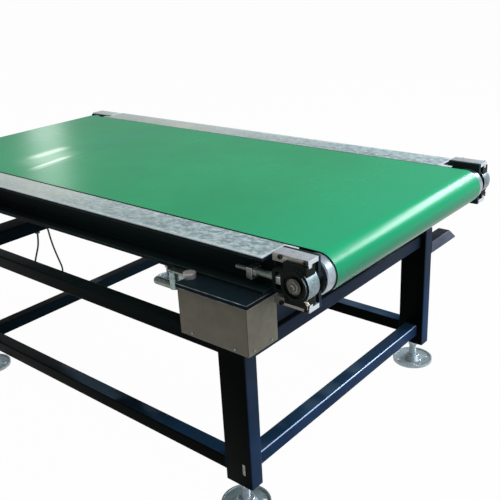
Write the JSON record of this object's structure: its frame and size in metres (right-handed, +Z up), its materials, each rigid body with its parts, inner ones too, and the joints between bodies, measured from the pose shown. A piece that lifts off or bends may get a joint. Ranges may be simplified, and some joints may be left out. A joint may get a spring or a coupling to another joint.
{
  "type": "level belt conveyor on a tube stand",
  "caption": "Level slider-bed belt conveyor: endless green belt over end drums with take-up bearings, side rails with zinc cover strips, tube stand on round levelling feet.",
  "frame": {"origin": "on the floor under the centre of the whole machine's box", "axes": "+X along the belt towards the tail end, +Y across to the side away from the control box, +Z up"},
  "size_m": [1.6469, 1.119, 0.672],
  "materials": {
    "belt_green": "satin PVC, slightly glossy",
    "zinc_strip": "galvanised sheet, mottled",
    "navy_frame": "satin dark navy enamel",
    "zinc_fitting": "zinc plated",
    "cast_housing": "dark green paint on cast iron",
    "drum_steel": "turned steel",
    "bed_steel": "bare sheet",
    "box_sheet": "plain dull sheet",
    "gearbox_alloy": "blasted casting",
    "motor_paint": "grey enamel",
    "black_plastic": "moulded",
    "cable_black": "PVC sheath"
  },
  "bodies": {
    "frame": {"adjusting_screw_tail_far": "zinc_fitting", "adjusting_screw_tail_near": "zinc_fitting", "bearing_housing_head_far": "cast_housing", "bearing_housing_head_near": "cast_housing", "bearing_housing_tail_far": "cast_housing", "bearing_housing_tail_near": "cast_housing", "bed_clamp": "zinc_fitting", "bed_posts": "navy_frame", "bed_ties": "navy_frame", "belt": "belt_green", "cable_glands": "black_plastic", "control_box": "box_sheet", "control_box_cap": "navy_frame", "cover_strip_far": "zinc_strip", "cover_strip_near": "zinc_strip", "drive_motor": "motor_paint", "end_plate_head_far": "navy_frame", "end_plate_head_near": "navy_frame", "end_plate_tail_far": "navy_frame", "end_plate_tail_near": "navy_frame", "foot_head_far": "zinc_fitting", "foot_head_near": "zinc_fitting", "foot_tail_far": "zinc_fitting", "foot_tail_near": "zinc_fitting", "gearbox": "gearbox_alloy", "gearbox_arm": "navy_frame", "guide_bars_tail_far": "zinc_fitting", "guide_bars_tail_near": "zinc_fitting", "head_cover_far": "zinc_strip", "head_cover_near": "zinc_strip", "leg_head_far": "navy_frame", "leg_head_near": "navy_frame", "leg_tail_far": "navy_frame", "leg_tail_near": "navy_frame", "lower_cross_beam_head": "navy_frame", "lower_cross_beam_tail": "navy_frame", "lower_side_beam_far": "navy_frame", "lower_side_beam_near": "navy_frame", "motor_cable": "cable_black", "return_hangers": "navy_frame", "side_rail_far": "navy_frame", "side_rail_near": "navy_frame", "slider_bed": "bed_steel", "stand_stub": "navy_frame", "terminal_box": "motor_paint", "upper_cross_beam_head": "navy_frame", "upper_cross_beam_tail": "navy_frame", "upper_side_beam_far": "navy_frame", "upper_side_beam_near": "navy_frame"},
    "tail_roller_body": {"tail_roller": "drum_steel"},
    "head_drum_body": {"head_drum": "drum_steel"},
    "return_roller_1_body": {"return_roller_1": "drum_steel"},
    "return_roller_2_body": {"return_roller_2": "drum_steel"}
  },
  "joints": [
    {"name": "head_drum_spin", "type": "hinge", "parent": "frame", "child": "head_drum_body", "pos_m": [-0.7535, -0.02853, 0.617], "axis": [0, 1, 0], "continuous": true},
    {"name": "tail_roller_spin", "type": "hinge", "parent": "frame", "child": "tail_roller_body", "pos_m": [0.7785, -0.02853, 0.617], "axis": [0, 1, 0], "continuous": true},
    {"name": "return_roller_1_spin", "type": "hinge", "parent": "frame", "child": "return_roller_1_body", "pos_m": [0.46922, -0.02853, 0.5517], "axis": [0, 1, 0], "continuous": true},
    {"name": "return_roller_2_spin", "type": "hinge", "parent": "frame", "child": "return_roller_2_body", "pos_m": [-0.44422, -0.02853, 0.5517], "axis": [0, 1, 0], "continuous": true}
  ],
  "couplings": [
    {"joint": "tail_roller_spin", "follows": "head_drum_spin", "ratio": 1},
    {"joint": "return_roller_1_spin", "follows": "head_drum_spin", "ratio": -2.25},
    {"joint": "return_roller_2_spin", "follows": "head_drum_spin", "ratio": -2.25}
  ]
}
